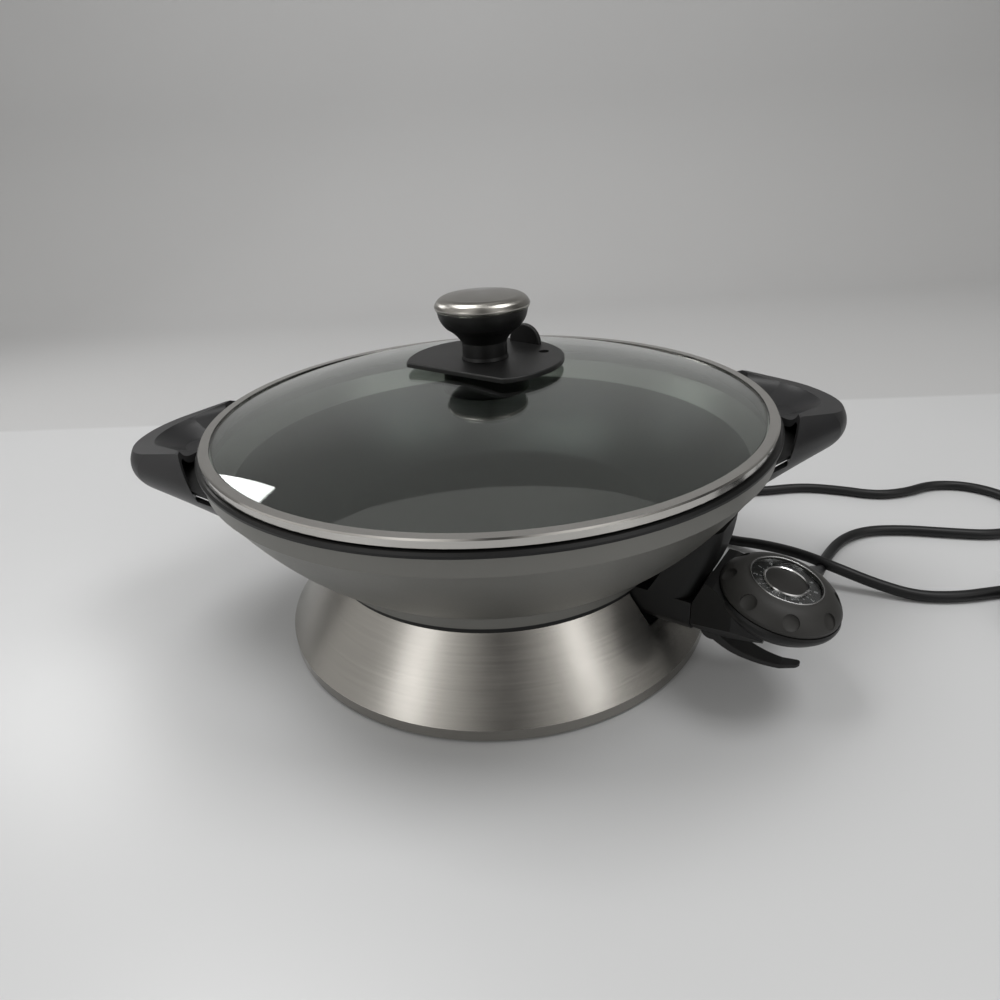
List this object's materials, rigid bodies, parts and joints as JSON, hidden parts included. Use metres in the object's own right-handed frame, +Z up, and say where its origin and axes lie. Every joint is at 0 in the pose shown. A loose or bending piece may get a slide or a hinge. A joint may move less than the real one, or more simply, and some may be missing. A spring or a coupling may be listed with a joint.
{
  "type": "electric wok",
  "caption": "Cast bowl on a flared steel base with a domed glass lift-off lid, two side handles and a plug-in dial heat control on a cord.",
  "frame": {"origin": "centre of the base on the surface that the wok stands on", "axes": "+Z up, +X along the two side handles, -Y towards the cook; the heat control leaves at 36 degrees from +X towards -Y"},
  "size_m": [0.7145, 0.3636, 0.2209],
  "materials": {
    "brushed_steel": "brushed around the axis",
    "polished_steel": "polished",
    "cast_grey": "satin outside, dark non-stick inside",
    "black_plastic": "fine matt",
    "handle_plastic": "soft matt",
    "dial_plastic": "soft matt",
    "cap_plastic": "satin",
    "clear_glass": "clear",
    "clear_plastic": "clear",
    "chrome": "polished",
    "scale_print": "dark with plain light marks",
    "brass": "bright",
    "rubber": "matt",
    "zinc_steel": "zinc plated",
    "element_steel": "heat dulled"
  },
  "bodies": {
    "base": {"base_skirt": "brushed_steel", "base_frame": "black_plastic", "base_collar": "black_plastic", "foot_1": "rubber", "foot_2": "rubber", "foot_3": "rubber", "foot_4": "rubber"},
    "bowl": {"wok_bowl": "cast_grey", "heating_element": "element_steel", "terminal_pin_front": "chrome", "terminal_pin_back": "chrome", "probe_guard": "black_plastic", "handle_right": "handle_plastic", "handle_left": "handle_plastic", "bracket_right": "zinc_steel", "bracket_left": "zinc_steel", "screw_right_1": "zinc_steel", "screw_right_2": "zinc_steel", "screw_left_1": "zinc_steel", "screw_left_2": "zinc_steel"},
    "lid": {"lid_glass": "clear_glass", "lid_rim": "polished_steel", "lid_washer": "rubber", "knob_neck": "black_plastic", "knob_cap": "brushed_steel", "lid_retainer": "black_plastic", "lid_screw": "zinc_steel"},
    "vent": {"vent_plate": "black_plastic"},
    "probe": {"probe_housing": "black_plastic", "sensor_rod": "chrome", "contact_sleeve_front": "brass", "contact_sleeve_back": "brass", "lever_pin": "chrome", "dial_scale": "scale_print", "strain_relief": "rubber", "cord_free": "rubber", "cord_coil": "rubber", "cord_tail": "rubber", "plug_body": "black_plastic", "plug_blade_front": "brass", "plug_blade_back": "brass", "plug_ground": "brass"},
    "dial": {"dial_dome": "dial_plastic", "dial_lens": "clear_plastic", "dial_bezel": "chrome", "dial_cap": "cap_plastic"},
    "lever": {"release_lever": "black_plastic"}
  },
  "joints": [
    {"name": "bowl_lift", "type": "slide", "parent": "base", "child": "bowl", "axis": [0, 0, 1], "range_m": [0, 0.12]},
    {"name": "lid_lift", "type": "slide", "parent": "bowl", "child": "lid", "axis": [0, 0, 1], "range_m": [0, 0.15]},
    {"name": "vent_turn", "type": "hinge", "parent": "lid", "child": "vent", "pos_m": [0, 0, 0.1785], "axis": [0, 0, 1], "range_deg": [0, 30]},
    {"name": "probe_pull", "type": "slide", "parent": "bowl", "child": "probe", "axis": [0.809, -0.5878, 0], "range_m": [0, 0.08]},
    {"name": "dial_turn", "type": "hinge", "parent": "probe", "child": "dial", "pos_m": [0.15735, -0.11432, 0.065], "axis": [0.182, -0.1322, 0.9744], "range_deg": [0, 270]},
    {"name": "lever_press", "type": "hinge", "parent": "probe", "child": "lever", "pos_m": [0.12985, -0.09434, 0.033], "axis": [-0.5878, -0.809, 0], "range_deg": [0, 12], "stiffness_Nm_per_rad": 0.4, "springref_deg": -8.59}
  ]
}
